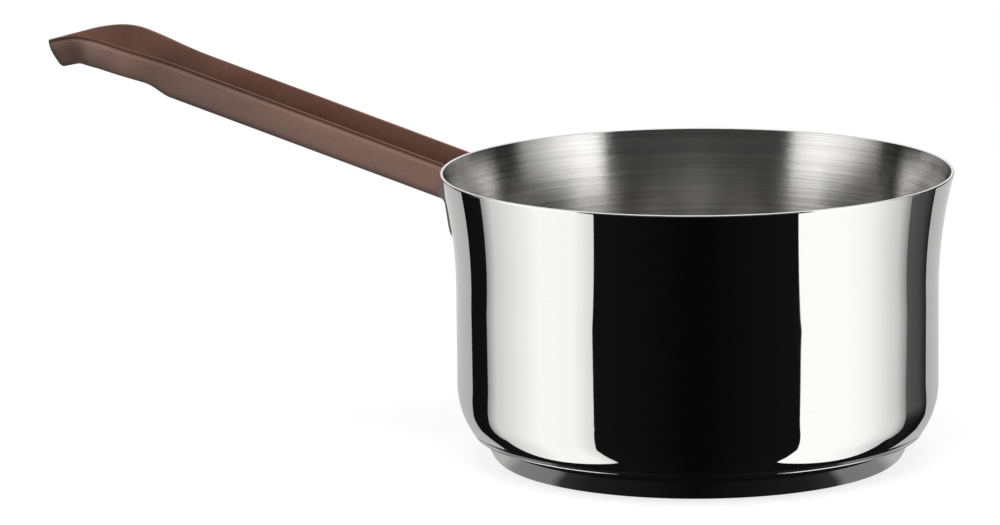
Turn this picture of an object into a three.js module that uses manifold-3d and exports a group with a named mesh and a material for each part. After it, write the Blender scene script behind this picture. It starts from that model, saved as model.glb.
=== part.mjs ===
// A saucepan: a drawn steel vessel on a capped, heat-spreading base, with a bent sheet-steel
// handle riveted to a bracket on the wall. Millimetres, +Z up, the origin at the centre of
// the base's underside, the handle along -X.
import * as THREE from "three";
import { mergeVertices } from "three/addons/utils/BufferGeometryUtils.js";
import Module from "manifold-3d";

const wasm = await Module();
wasm.setup();

// Vessel
const RIM_RADIUS = 80;
const RIM_HEIGHT = 90.7;
const FLARE_OUT = 4.7; // how far the rim stands out beyond the straight wall
const FLARE_HEIGHT = 37.2; // the top stretch of the wall, which curves out to the rim
const WALL = 1;
const LOWER_ROUND = 26; // outside radius of the wall's lower edge
const LOWER_TURN = THREE.MathUtils.degToRad(36); // how far that edge turns before the base
const EDGE_LAND = 0.6; // upright edge left between that round and the underside
const FLOOR_FILLET = 8; // inside radius between wall and floor

// Base
const BASE_HEIGHT = 8.4;
const LEDGE = 4.3; // rim of the vessel's underside left bare round the cap
const CAP_SHOULDER = 4.3; // how far the cap's side curves in to the flat foot
const CAP_WALL = 0.8;
const DISC_CLEARANCE = 0.3; // round the disc, inside the cap

// Handle channel: s runs along its top edge from the rim, v across, h up from that edge
const HANDLE_BELOW_RIM = 0.1;
const HANDLE_RISE = THREE.MathUtils.degToRad(17.1);
const SHEET = 2;
const CHANNEL_HALF_WIDTH = 13.3;
const ROOT_DEPTH = 10.8; // wall depth at the rim
const GRIP_DEPTH = 11; // and where the floor of the channel ends
const LOOP_DEPTH = 8.9; // and along the open loop beyond it
const TIP_DEPTH = 9.4;
const CHANNEL_LENGTH = 91; // straight stretch, rim to loop
const LOOP_SWELL = 28; // from there to the loop's widest place
const LOOP_CLOSE = 19.8; // and on to the blunt nose
const NOSE_LENGTH = 7.4;
const LOOP_HALF_WIDTH = 17.4;
const NOSE_HALF_WIDTH = 6.3;
const NOSE_ANGLE = THREE.MathUtils.degToRad(33); // of the walls to the middle line at the nose
const CURVE_EASE = 0.42; // how softly the walls leave and reach each straight direction
const STEP_DELAY = 2.1; // from the straight stretch to the step in the wall's lower edge
const STEP_LENGTH = 9; // over which that edge steps up to the loop's depth
const DROOP_START = 116.5; // where the loop starts to bend down
const DROOP_RADIUS = 32;
const DROOP_TURN = THREE.MathUtils.degToRad(31.5);
const TIP_RAKE = 3; // how far the tip's lower edge is drawn back
const EDGE_ROUND = 1.2; // rounding of the walls' outer top edge, across the sheet
const EDGE_FALL = 4.6; // and down the wall
const FOOT_RISE = 2.4; // height of the rounding between the walls and the channel's underside
const LOOP_FOOT = 1.6; // rounding of the loop's outer lower edge, across the sheet
const LOOP_FOOT_RISE = 4; // and up the wall
const BEND_INSIDE = 1.2; // inside radius between the walls and the floor of the channel
const FLOOR_NOTCH = 7; // hollow in the end of the channel's floor
const FLOOR_OVERLAP = 0.1; // how far the floor reaches into the walls, which are one piece with it
const ROOT_TUCK = 2.8; // how far the walls' square ends reach in under the flare
const ROOT_CLEARANCE = 0.4; // handle to vessel

// Bracket, welded to the wall below the handle, with a tongue on the channel's floor
const BRACKET_SHEET = 2;
const WELD_GAP = 0.3;
const PLATE_WIDTH = 30;
const PLATE_HEIGHT = 14.6;
const PLATE_CORNER = 6;
const TONGUE_LENGTH = 44;
const TONGUE_CLEARANCE = 0.3; // to the channel's floor and its walls
const BEND_REACH = 4; // how far the bend between plate and tongue reaches along each
const PLATE_RISE = 1.4; // how far the plate reaches up behind the walls' square ends
const FLOOR_SETBACK = 3; // from the bracket's neck to the end of the channel's floor

// Rivets
const RIVET_RADIUS = 2;
const RIVET_CLEARANCE = 0.3;
const RIVET_HEAD_RADIUS = 3.8;
const RIVET_HEAD_HEIGHT = 1.4;
const RIVET_FIRST = 14; // from the start of the channel's floor to the inner rivet
const RIVET_PITCH = 16;

// Facets
const ROUND_SEGMENTS = 64;
const ARC_DIVISIONS = 3;
const CURVE_DIVISIONS = 11;

// The flare is one arc: the mid-line of the sheet runs from the straight wall to the lip.
const bodyRadius = RIM_RADIUS - FLARE_OUT;
const flareStart = RIM_HEIGHT - FLARE_HEIGHT;
const flareRise = FLARE_HEIGHT - WALL / 2;
const flareRadius = (flareRise ** 2 + FLARE_OUT ** 2) / (2 * FLARE_OUT);
const flareCentre = bodyRadius - WALL / 2 + flareRadius;
const flareTurn = Math.asin(flareRise / flareRadius);
const undersideRadius = bodyRadius - LOWER_ROUND * (1 - Math.cos(LOWER_TURN));
const capRadius = undersideRadius - LEDGE;

// Outside radius of the vessel at height z, above its lower round.
function wallRadius(z) {
  if (z <= flareStart) return bodyRadius;
  const rise = Math.min(z - flareStart, flareRise);
  return flareCentre - Math.sqrt((flareRadius - WALL / 2) ** 2 - rise ** 2);
}

// Materials
function metal(color, roughness) {
  return new THREE.MeshStandardMaterial({ color, roughness, metalness: 1 });
}
const polishedSteel = metal(0xd6d6d4, 0.08);
const satinSteel = metal(0xb9b9b6, 0.35);
const aluminium = metal(0xc4c6c8, 0.4);
const brownCoat = metal(0x6b4a40, 0.45);

// A closed geometry as a solid for joining and cutting, and back again.
function toSolid(geometry) {
  const bare = new THREE.BufferGeometry();
  bare.setAttribute("position", geometry.getAttribute("position").clone());
  if (geometry.index) bare.setIndex(geometry.index.clone());
  const merged = mergeVertices(bare, 1e-4);
  return new wasm.Manifold(
    new wasm.Mesh({
      numProp: 3,
      vertProperties: merged.getAttribute("position").array,
      triVerts: new Uint32Array(merged.index.array),
    }),
  );
}
function toGeometry(solid) {
  const mesh = solid.getMesh();
  const geometry = new THREE.BufferGeometry();
  geometry.setAttribute("position", new THREE.BufferAttribute(mesh.vertProperties, 3));
  geometry.setIndex(new THREE.BufferAttribute(mesh.triVerts, 1));
  geometry.computeVertexNormals();
  return geometry;
}

// A solid of revolution about Z from a path of (radius, height), each point taken once.
function revolve(path, segments = ROUND_SEGMENTS) {
  const points = path.getPoints(ARC_DIVISIONS);
  const profile = points.filter((p, i) => i === 0 || p.distanceTo(points[i - 1]) > 1e-6);
  return new THREE.LatheGeometry(profile, segments).rotateX(Math.PI / 2);
}

function vesselGeometry() {
  const roundCentre = new THREE.Vector2(
    bodyRadius - LOWER_ROUND,
    BASE_HEIGHT + EDGE_LAND + LOWER_ROUND * Math.sin(LOWER_TURN),
  );
  const innerRound = LOWER_ROUND - WALL;
  const floorTop = BASE_HEIGHT + WALL;
  const filletRise = roundCentre.y - floorTop - FLOOR_FILLET;
  const filletOut = Math.sqrt((innerRound - FLOOR_FILLET) ** 2 - filletRise ** 2);
  const filletCentre = roundCentre.x + filletOut;
  const filletEnd = Math.atan2(-filletRise, filletOut);
  const lip = new THREE.Vector2(RIM_RADIUS - WALL / 2, RIM_HEIGHT - WALL / 2);
  const path = new THREE.Path();
  path.moveTo(0, BASE_HEIGHT);
  path.lineTo(undersideRadius, BASE_HEIGHT);
  path.absarc(roundCentre.x, roundCentre.y, LOWER_ROUND, -LOWER_TURN, 0);
  path.absarc(flareCentre, flareStart, flareRadius - WALL / 2, Math.PI, Math.PI - flareTurn, true);
  path.absarc(lip.x, lip.y, WALL / 2, -flareTurn, Math.PI - flareTurn);
  path.absarc(flareCentre, flareStart, flareRadius + WALL / 2, Math.PI - flareTurn, Math.PI);
  path.absarc(roundCentre.x, roundCentre.y, innerRound, 0, filletEnd, true);
  path.absarc(filletCentre, floorTop + FLOOR_FILLET, FLOOR_FILLET, filletEnd, -Math.PI / 2, true);
  path.lineTo(0, floorTop);
  return revolve(path);
}

// The cap's side is a quarter ellipse from the flat foot up to the vessel's underside.
function baseCapGeometry() {
  const path = new THREE.Path();
  const outer = capRadius - CAP_SHOULDER;
  const inner = outer - CAP_WALL;
  path.moveTo(0, 0);
  path.lineTo(outer, 0);
  path.absellipse(outer, BASE_HEIGHT, CAP_SHOULDER, BASE_HEIGHT, -Math.PI / 2, 0);
  path.absellipse(inner, BASE_HEIGHT, CAP_SHOULDER, BASE_HEIGHT - CAP_WALL, 0, -Math.PI / 2, true);
  path.lineTo(0, CAP_WALL);
  return revolve(path);
}

// The disc fills the cap, from its floor to the vessel's underside.
function heatDiscGeometry() {
  const path = new THREE.Path();
  const inner = capRadius - CAP_SHOULDER - CAP_WALL - DISC_CLEARANCE;
  path.moveTo(0, CAP_WALL);
  path.lineTo(inner, CAP_WALL);
  path.absellipse(inner, BASE_HEIGHT, CAP_SHOULDER, BASE_HEIGHT - CAP_WALL, -Math.PI / 2, 0);
  path.lineTo(0, BASE_HEIGHT);
  return revolve(path);
}

// The handle's top edge in side view: straight up from the rim, then an arc that bends it
// down, then straight to the tip. Gives the point h above the edge at length s, as (out, up).
const handleRoot = new THREE.Vector2(RIM_RADIUS, RIM_HEIGHT - HANDLE_BELOW_RIM);
function handlePoint(s, h) {
  const turn = THREE.MathUtils.clamp((s - DROOP_START) / DROOP_RADIUS, 0, DROOP_TURN);
  const slope = HANDLE_RISE - turn;
  const straight = Math.min(s, DROOP_START);
  const rest = Math.max(0, s - DROOP_START - DROOP_RADIUS * DROOP_TURN);
  const arcOut = DROOP_RADIUS * (Math.sin(HANDLE_RISE) - Math.sin(slope));
  const arcUp = DROOP_RADIUS * (Math.cos(slope) - Math.cos(HANDLE_RISE));
  return new THREE.Vector2(
    handleRoot.x + straight * Math.cos(HANDLE_RISE) + arcOut + rest * Math.cos(slope) - h * Math.sin(slope),
    handleRoot.y + straight * Math.sin(HANDLE_RISE) + arcUp + rest * Math.sin(slope) + h * Math.cos(slope),
  );
}

const handleLength = CHANNEL_LENGTH + LOOP_SWELL + LOOP_CLOSE + NOSE_LENGTH;

// Depth of the walls at length s: a slow taper, a step where the floor ends, then the loop.
function wallDepth(s) {
  if (s <= CHANNEL_LENGTH) {
    return THREE.MathUtils.mapLinear(s, 0, CHANNEL_LENGTH, ROOT_DEPTH, GRIP_DEPTH);
  }
  const stepStart = CHANNEL_LENGTH + STEP_DELAY;
  const step = THREE.MathUtils.smoothstep(s, stepStart, stepStart + STEP_LENGTH);
  const loop = THREE.MathUtils.mapLinear(s, CHANNEL_LENGTH, handleLength, LOOP_DEPTH, TIP_DEPTH);
  return THREE.MathUtils.lerp(GRIP_DEPTH, loop, step);
}

// Outline of the handle seen from above, from the root of one wall to the tip, as (s, v).
function handleOutline(start) {
  const widest = CHANNEL_LENGTH + LOOP_SWELL;
  const noseStart = widest + LOOP_CLOSE;
  const noseReach = CURVE_EASE * NOSE_LENGTH;
  const noseRise = noseReach * Math.tan(NOSE_ANGLE);
  const path = new THREE.Path();
  path.moveTo(start, CHANNEL_HALF_WIDTH);
  path.lineTo(CHANNEL_LENGTH, CHANNEL_HALF_WIDTH);
  path.bezierCurveTo(
    CHANNEL_LENGTH + CURVE_EASE * LOOP_SWELL, CHANNEL_HALF_WIDTH,
    widest - CURVE_EASE * LOOP_SWELL, LOOP_HALF_WIDTH,
    widest, LOOP_HALF_WIDTH,
  );
  path.bezierCurveTo(
    widest + CURVE_EASE * LOOP_CLOSE, LOOP_HALF_WIDTH,
    noseStart - CURVE_EASE * LOOP_CLOSE, NOSE_HALF_WIDTH + CURVE_EASE * LOOP_CLOSE * Math.tan(NOSE_ANGLE),
    noseStart, NOSE_HALF_WIDTH,
  );
  path.bezierCurveTo(
    noseStart + noseReach, NOSE_HALF_WIDTH - noseRise,
    handleLength, CURVE_EASE * NOSE_HALF_WIDTH,
    handleLength, 0,
  );
  return path.getPoints(CURVE_DIVISIONS);
}

// Section of the wall at length s, as (in from the outer face, up from the top edge).
function wallSection(s) {
  const depth = wallDepth(s);
  const onChannel = s <= CHANNEL_LENGTH;
  const foot = onChannel ? SHEET - FLOOR_OVERLAP : LOOP_FOOT;
  const footRise = onChannel ? FOOT_RISE : LOOP_FOOT_RISE;
  const section = [new THREE.Vector2(SHEET, 0)];
  for (const angle of [0, 0.25, 0.5].map((share) => share * Math.PI)) {
    section.push(new THREE.Vector2(EDGE_ROUND * (1 - Math.sin(angle)), EDGE_FALL * (Math.cos(angle) - 1)));
  }
  for (const angle of [0, 1 / 6, 1 / 3, 0.5].map((share) => share * Math.PI)) {
    section.push(new THREE.Vector2(foot * (1 - Math.cos(angle)), -depth + footRise * (1 - Math.sin(angle))));
  }
  section.push(new THREE.Vector2(SHEET, -depth));
  return section;
}

// A closed skin over rings of points, with both ends capped.
function loft(rings, capShape) {
  const size = rings[0].length;
  const index = [];
  for (let ring = 0; ring + 1 < rings.length; ring++) {
    for (let i = 0; i < size; i++) {
      const a = ring * size + i;
      const b = ring * size + ((i + 1) % size);
      index.push(a, b, a + size, b, b + size, a + size);
    }
  }
  const last = (rings.length - 1) * size;
  for (const [a, b, c] of THREE.ShapeUtils.triangulateShape(capShape, [])) {
    index.push(a, c, b, last + a, last + b, last + c);
  }
  const geometry = new THREE.BufferGeometry().setFromPoints(rings.flat());
  return geometry.setIndex(index);
}

// Both walls are one band that runs from one root round the tip to the other.
function wallBand(start) {
  const half = handleOutline(start);
  const mirrored = half.slice(0, -1).reverse().map((p) => new THREE.Vector2(p.x, -p.y));
  const outline = [...half, ...mirrored];
  const rings = outline.map((point, i) => {
    const before = outline[Math.max(i - 1, 0)];
    const after = outline[Math.min(i + 1, outline.length - 1)];
    const along = after.clone().sub(before).normalize();
    const inward = new THREE.Vector2(along.y, -along.x);
    const drawnBack = TIP_RAKE * THREE.MathUtils.smoothstep(point.x, DROOP_START, handleLength);
    return wallSection(point.x).map(({ x: depthIn, y: h }) => {
      const place = point.clone().addScaledVector(inward, depthIn);
      const { x: out, y: up } = handlePoint(place.x + (drawnBack * h) / wallDepth(point.x), h);
      return new THREE.Vector3(-out, place.y, up);
    });
  });
  return loft(rings, wallSection(start));
}

// The channel's floor lies in its own plane, between the walls' lower edges.
const floorStartPoint = handlePoint(0, -ROOT_DEPTH);
const floorEndPoint = handlePoint(CHANNEL_LENGTH, -GRIP_DEPTH);
const floorRise = floorEndPoint.clone().sub(floorStartPoint).angle();
const floorFrame = new THREE.Matrix4()
  .makeBasis(
    new THREE.Vector3(-Math.cos(floorRise), 0, Math.sin(floorRise)),
    new THREE.Vector3(0, -1, 0),
    new THREE.Vector3(Math.sin(floorRise), 0, Math.cos(floorRise)),
  )
  .setPosition(-floorStartPoint.x, 0, floorStartPoint.y);
const neckRadius = wallRadius(floorStartPoint.y) + WELD_GAP + BRACKET_SHEET;
const floorStart = neckRadius + FLOOR_SETBACK - floorStartPoint.x;
const floorEnd = floorEndPoint.distanceTo(floorStartPoint);
const rivetPlaces = [floorStart + RIVET_FIRST, floorStart + RIVET_FIRST + RIVET_PITCH];
const stackHeight = SHEET + TONGUE_CLEARANCE + BRACKET_SHEET;

// The floor is its outline seen from above, cut from a section that curves up to the walls.
function channelFloor() {
  const inner = CHANNEL_HALF_WIDTH - SHEET;
  const half = inner + FLOOR_OVERLAP;
  const top = SHEET + BEND_INSIDE;
  const options = { bevelEnabled: false, curveSegments: 2 * ARC_DIVISIONS };
  const plan = new THREE.Shape();
  plan.moveTo(floorStart, -half);
  plan.lineTo(floorEnd, -half);
  plan.quadraticCurveTo(floorEnd - 2 * FLOOR_NOTCH, 0, floorEnd, half);
  plan.lineTo(floorStart, half);
  for (const place of rivetPlaces) {
    plan.holes.push(new THREE.Path().absarc(place, 0, RIVET_RADIUS + RIVET_CLEARANCE, 0, 2 * Math.PI, true));
  }
  const section = new THREE.Shape();
  section.moveTo(-half, 0);
  section.lineTo(half, 0);
  section.lineTo(half, top);
  section.lineTo(inner, top);
  section.absarc(inner - BEND_INSIDE, top, BEND_INSIDE, 0, -Math.PI / 2, true);
  section.absarc(BEND_INSIDE - inner, top, BEND_INSIDE, -Math.PI / 2, -Math.PI, true);
  section.lineTo(-half, top);
  const alongFloor = new THREE.Matrix4().makeBasis(
    new THREE.Vector3(0, 1, 0),
    new THREE.Vector3(0, 0, 1),
    new THREE.Vector3(1, 0, 0),
  );
  const flat = new THREE.ExtrudeGeometry(plan, { ...options, depth: top });
  const curved = new THREE.ExtrudeGeometry(section, { ...options, depth: handleLength });
  curved.applyMatrix4(alongFloor);
  return toSolid(flat.applyMatrix4(floorFrame)).intersect(toSolid(curved.applyMatrix4(floorFrame)));
}

// The handle's root is cut to the flare of the vessel, with room to clear it.
function rootCutter() {
  const top = RIM_HEIGHT + ROOT_DEPTH;
  const heights = [0, 0.25, 0.5, 0.75, 1].map((share) => flareStart + share * flareRise);
  const side = heights.map((z) => new THREE.Vector2(wallRadius(z) + ROOT_CLEARANCE, z));
  const rim = new THREE.Vector2(RIM_RADIUS + ROOT_CLEARANCE, top);
  const low = new THREE.Vector2(0, flareStart);
  return revolve(new THREE.Path().setFromPoints([low, ...side, rim, new THREE.Vector2(0, top)]));
}

function handleGeometry() {
  const sheet = toSolid(wallBand(-ROOT_TUCK)).add(channelFloor());
  return toGeometry(sheet.subtract(toSolid(rootCutter())));
}

// The plate hugs the wall: a ring of sheet cut to a rounded outline.
const plateTop = floorStartPoint.y + PLATE_RISE;
const plateBottom = plateTop - PLATE_HEIGHT;
const tongueHalf = CHANNEL_HALF_WIDTH - SHEET - BEND_INSIDE - TONGUE_CLEARANCE;

// Side-view frame: x out along the handle, y up, extruded across.
const sideFrame = new THREE.Matrix4().makeBasis(
  new THREE.Vector3(-1, 0, 0),
  new THREE.Vector3(0, 0, 1),
  new THREE.Vector3(0, 1, 0),
);

function bracketPlate() {
  const steps = [0, 0.25, 0.5, 0.75, 1].map((share) => plateBottom + share * PLATE_HEIGHT);
  const inside = steps.map((z) => new THREE.Vector2(wallRadius(z) + WELD_GAP, z));
  const outside = steps.map((z) => new THREE.Vector2(wallRadius(z) + WELD_GAP + BRACKET_SHEET, z));
  const path = new THREE.Path().setFromPoints([...outside, ...inside.reverse(), outside[0]]);
  const half = PLATE_WIDTH / 2;
  const outline = new THREE.Shape();
  outline.moveTo(-half, plateTop + 1);
  outline.lineTo(-half, plateBottom + PLATE_CORNER);
  outline.absarc(-half + PLATE_CORNER, plateBottom + PLATE_CORNER, PLATE_CORNER, Math.PI, 1.5 * Math.PI);
  outline.absarc(half - PLATE_CORNER, plateBottom + PLATE_CORNER, PLATE_CORNER, 1.5 * Math.PI, 2 * Math.PI);
  outline.lineTo(half, plateTop + 1);
  const options = { depth: 2 * RIM_RADIUS, bevelEnabled: false, curveSegments: 2 * ARC_DIVISIONS };
  const frame = new THREE.Matrix4().makeBasis(
    new THREE.Vector3(0, -1, 0),
    new THREE.Vector3(0, 0, 1),
    new THREE.Vector3(-1, 0, 0),
  );
  const cutter = new THREE.ExtrudeGeometry(outline, options).applyMatrix4(frame);
  return toSolid(revolve(path)).intersect(toSolid(cutter));
}

// The neck rises from the plate, bends outwards and runs on as the tongue.
function bracketTongue() {
  const middle = SHEET + TONGUE_CLEARANCE + BRACKET_SHEET / 2;
  const onTongue = (q) => {
    const p = new THREE.Vector3(q, 0, middle).applyMatrix4(floorFrame);
    return new THREE.Vector2(-p.x, p.z);
  };
  const neckAt = (z) => new THREE.Vector2(wallRadius(z) + WELD_GAP + BRACKET_SHEET / 2, z);
  const along = new THREE.Vector2(Math.cos(floorRise), Math.sin(floorRise));
  const neckLow = neckAt(plateTop - PLATE_CORNER);
  const neckHigh = neckAt(floorStartPoint.y + stackHeight);
  const neckAlong = neckHigh.clone().sub(neckLow).normalize();
  const start = onTongue(0);
  const gap = start.clone().sub(neckLow);
  const reach = gap.cross(neckAlong) / along.cross(neckAlong);
  const corner = start.clone().addScaledVector(along, -reach);
  const bendStart = corner.clone().addScaledVector(neckAlong, -BEND_REACH);
  const bendEnd = corner.clone().addScaledVector(along, BEND_REACH);
  const line = new THREE.Path().moveTo(neckLow.x, neckLow.y).lineTo(bendStart.x, bendStart.y);
  line.quadraticCurveTo(corner.x, corner.y, bendEnd.x, bendEnd.y);
  const end = corner.clone().addScaledVector(along, TONGUE_LENGTH);
  line.lineTo(end.x, end.y);
  const points = line.getPoints(2 * ARC_DIVISIONS);
  const side = (sign) =>
    points.map((p, i) => {
      const before = points[Math.max(i - 1, 0)];
      const after = points[Math.min(i + 1, points.length - 1)];
      const t = after.clone().sub(before).normalize();
      return p.clone().add(new THREE.Vector2(-t.y, t.x).multiplyScalar((sign * BRACKET_SHEET) / 2));
    });
  const shape = new THREE.Shape([...side(-1), ...side(1).reverse()]);
  const options = { depth: 2 * tongueHalf, bevelEnabled: false };
  const strip = new THREE.ExtrudeGeometry(shape, options).translate(0, 0, -tongueHalf);
  const rounded = new THREE.Shape();
  rounded.moveTo(0, -tongueHalf);
  rounded.lineTo(end.x - tongueHalf, -tongueHalf);
  rounded.absarc(end.x - tongueHalf, 0, tongueHalf, -Math.PI / 2, Math.PI / 2);
  rounded.lineTo(0, tongueHalf);
  const tall = { depth: 2 * RIM_HEIGHT, bevelEnabled: false, curveSegments: 4 * ARC_DIVISIONS };
  const plan = new THREE.ExtrudeGeometry(rounded, tall).rotateY(Math.PI).translate(0, 0, 2 * RIM_HEIGHT);
  return toSolid(strip.applyMatrix4(sideFrame)).intersect(toSolid(plan));
}

function rivetHole(place) {
  const height = 4 * stackHeight;
  const hole = new THREE.CylinderGeometry(
    RIVET_RADIUS + RIVET_CLEARANCE, RIVET_RADIUS + RIVET_CLEARANCE, height, 4 * ARC_DIVISIONS,
  );
  return toSolid(hole.rotateX(Math.PI / 2).translate(place, 0, 0).applyMatrix4(floorFrame));
}

function bracketGeometry() {
  let bracket = bracketPlate().add(bracketTongue());
  for (const place of rivetPlaces) bracket = bracket.subtract(rivetHole(place));
  return toGeometry(bracket);
}

// A rivet: a low dome on the tongue, a shank through both sheets and a flat head underneath.
function rivetGeometry() {
  const low = -TONGUE_CLEARANCE;
  const high = stackHeight + TONGUE_CLEARANCE;
  const path = new THREE.Path();
  path.moveTo(0, low - RIVET_HEAD_HEIGHT / 2);
  path.lineTo(RIVET_HEAD_RADIUS, low - RIVET_HEAD_HEIGHT / 2);
  path.lineTo(RIVET_HEAD_RADIUS, low);
  path.lineTo(RIVET_RADIUS, low);
  path.lineTo(RIVET_RADIUS, high);
  path.lineTo(RIVET_HEAD_RADIUS, high);
  path.absellipse(0, high, RIVET_HEAD_RADIUS, RIVET_HEAD_HEIGHT, 0, Math.PI / 2);
  return revolve(path, 4 * ARC_DIVISIONS);
}

function named(name, geometry, material) {
  const mesh = new THREE.Mesh(geometry, material);
  mesh.name = name;
  return mesh;
}

const saucepan = new THREE.Group();
saucepan.add(named("vessel", vesselGeometry(), polishedSteel));
saucepan.add(named("base_cap", baseCapGeometry(), polishedSteel));
saucepan.add(named("heat_disc", heatDiscGeometry(), aluminium));
saucepan.add(named("handle_channel", handleGeometry(), brownCoat));
saucepan.add(named("handle_bracket", bracketGeometry(), satinSteel));
["rivet_inner", "rivet_outer"].forEach((name, i) => {
  const seat = new THREE.Group();
  seat.applyMatrix4(floorFrame);
  const rivet = named(name, rivetGeometry(), satinSteel);
  rivet.position.x = rivetPlaces[i];
  seat.add(rivet);
  saucepan.add(seat);
});

export default saucepan;
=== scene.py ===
import math

import bpy
from mathutils import Matrix, Vector


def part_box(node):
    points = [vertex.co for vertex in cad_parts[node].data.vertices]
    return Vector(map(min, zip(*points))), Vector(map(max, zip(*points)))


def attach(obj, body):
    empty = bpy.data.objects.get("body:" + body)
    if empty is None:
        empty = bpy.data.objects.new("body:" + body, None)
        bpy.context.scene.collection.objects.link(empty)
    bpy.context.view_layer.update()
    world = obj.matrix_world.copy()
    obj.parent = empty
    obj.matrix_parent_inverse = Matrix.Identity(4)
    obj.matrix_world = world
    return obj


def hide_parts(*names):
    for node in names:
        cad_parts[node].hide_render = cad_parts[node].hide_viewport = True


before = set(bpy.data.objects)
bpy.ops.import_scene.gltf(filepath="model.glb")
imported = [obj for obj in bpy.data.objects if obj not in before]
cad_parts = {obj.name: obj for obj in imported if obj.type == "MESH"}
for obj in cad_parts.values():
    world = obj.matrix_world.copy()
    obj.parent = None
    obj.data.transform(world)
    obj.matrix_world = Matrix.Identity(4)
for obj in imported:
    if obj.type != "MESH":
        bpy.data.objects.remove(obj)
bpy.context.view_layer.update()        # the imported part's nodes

BODY = "root"

# Vessel
VESSEL_LOW, VESSEL_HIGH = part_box("vessel")
RIM_RADIUS = VESSEL_HIGH.x
RIM_HEIGHT = VESSEL_HIGH.z
BASE_HEIGHT = VESSEL_LOW.z
FLARE_OUT = 0.0047
FLARE_HEIGHT = 0.0372
WALL = 0.001
LOWER_ROUND = 0.026
LOWER_TURN = math.radians(36)
EDGE_LAND = 0.0003  # upright edge between the lower round and the underside
LAND_EASE = 0.00012  # rounding of its lower corner
FLOOR_FILLET = 0.008
LIP_FRONT = math.radians(38)  # the mirror polish ends here on the lip
LIP_REAR = math.radians(150)  # and the brushing starts here

# Base cap
CAP_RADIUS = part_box("base_cap")[1].x
CAP_SHOULDER = 0.0043
CAP_LEAN = math.radians(14)  # the side leans out at least this much, up to the vessel
CAP_WALL = 0.0008
FOOT_EASE = 0.0004  # small round between the cap's side and its flat foot
FOOT_TURN = -math.pi / 2 + 0.03  # where the cap's shoulder starts, just past straight down

# Handle channel: s runs along its top edge from the rim, v across, h up from that edge
HANDLE_BELOW_RIM = 0.0001
HANDLE_RISE = math.radians(17.1)
SHEET = 0.002
CHANNEL_HALF_WIDTH = 0.0133
ROOT_DEPTH = 0.0108
GRIP_DEPTH = 0.011
LOOP_DEPTH = 0.0089
TIP_DEPTH = 0.0094
CHANNEL_LENGTH = 0.091
LOOP_SWELL = 0.028
LOOP_CLOSE = 0.0198
NOSE_LENGTH = 0.0074
LOOP_HALF_WIDTH = 0.0174
NOSE_HALF_WIDTH = 0.0063
NOSE_ANGLE = math.radians(33)
CURVE_EASE = 0.42
STEP_DELAY = 0.0021
STEP_LENGTH = 0.009
DROOP_START = 0.1165
DROOP_RADIUS = 0.032
DROOP_TURN = math.radians(31.5)
TIP_RAKE = 0.003
EDGE_ROUND = 0.0012
EDGE_FALL = 0.0046
FOOT_RISE = 0.0024
LOOP_FOOT = 0.0016
LOOP_FOOT_RISE = 0.004
TIP_FOOT = 0.0008  # the foot is tighter again round the nose
TIP_FOOT_RISE = 0.0015
WALL_CROWN = 0.00035  # fall of the outer face from its middle to its edges
EDGE_EASE = 0.00025  # the walls' inner edges, only just broken
BEND_INSIDE = 0.0012
FLOOR_NOTCH = 0.007
FLOOR_OVERLAP = 0.0001
FLOOR_SEAM = 0.00003  # step between the floor's underside and the walls' feet
ROOT_TUCK = 0.0028
ROOT_CLEARANCE = 0.0004
ROOT_TRIES = 6  # rounds that settle where a wall's end clears the flare
HANDLE_ROOT = (RIM_RADIUS, RIM_HEIGHT - HANDLE_BELOW_RIM)
HANDLE_LENGTH = CHANNEL_LENGTH + LOOP_SWELL + LOOP_CLOSE + NOSE_LENGTH

# Bracket and rivets
BRACKET_SHEET = 0.002
WELD_GAP = 0.0003
PLATE_WIDTH = 0.030
PLATE_HEIGHT = 0.0146
PLATE_CORNER = 0.006
PLATE_EASE = 0.0004  # rounding of the plate's outer edges
PLATE_START = 0.02  # share of the height at which its lowest ring lies
SHOULDER_OUT = 0.0012  # the plate swells here into the bend of the tongue
SHOULDER_DEPTH = 0.003
EAR_RISE = 0.0062  # two ears run up beside the channel, under the flare: dark steel that stands in for the shade by the channel's root
EAR_FOOT = 0.0034  # how far they stand out from the wall, below and at their tips
EAR_TIP = 0.0011
EAR_CURVE = 1.5  # power of the curve between them
TONGUE_LENGTH = 0.044
TONGUE_CLEARANCE = 0.0003
TONGUE_TURN = 0.49 * math.pi  # how far round its end the tongue is drawn
BEND_REACH = 0.004
PLATE_RISE = 0.0014
FLOOR_SETBACK = 0.003
WELD_SPOT_RADIUS = 0.0021
WELD_SPOT_DEPTH = 0.0003
WELD_SPOT_FLAT = 0.6  # share of the radius that is flat
WELD_SPOT_PLACES = (-0.0105, -0.0035, 0.0035, 0.0105)  # across the plate
WELD_SPOT_RISE = 0.0045  # above the plate's lower edge
RIVET_RADIUS = 0.002
RIVET_CLEARANCE = 0.0003
RIVET_HEAD_RADIUS = 0.0038
RIVET_HEAD_HEIGHT = 0.0014
RIVET_FIRST = 0.014
RIVET_PITCH = 0.016

# The photographed view: the camera stands a little to the right of the handle's side
PHOTO_TURN = math.radians(20)
CAMERA_DISTANCE = 1.872
CAMERA_ELEVATION = math.radians(10.74)
CAMERA_ROLL = math.radians(-0.62)
CAMERA_TARGET = Vector((-0.0615, 0, 0.0620))  # before the turn
CAMERA_LENS = 216
CAMERA_SENSOR = 36

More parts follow.
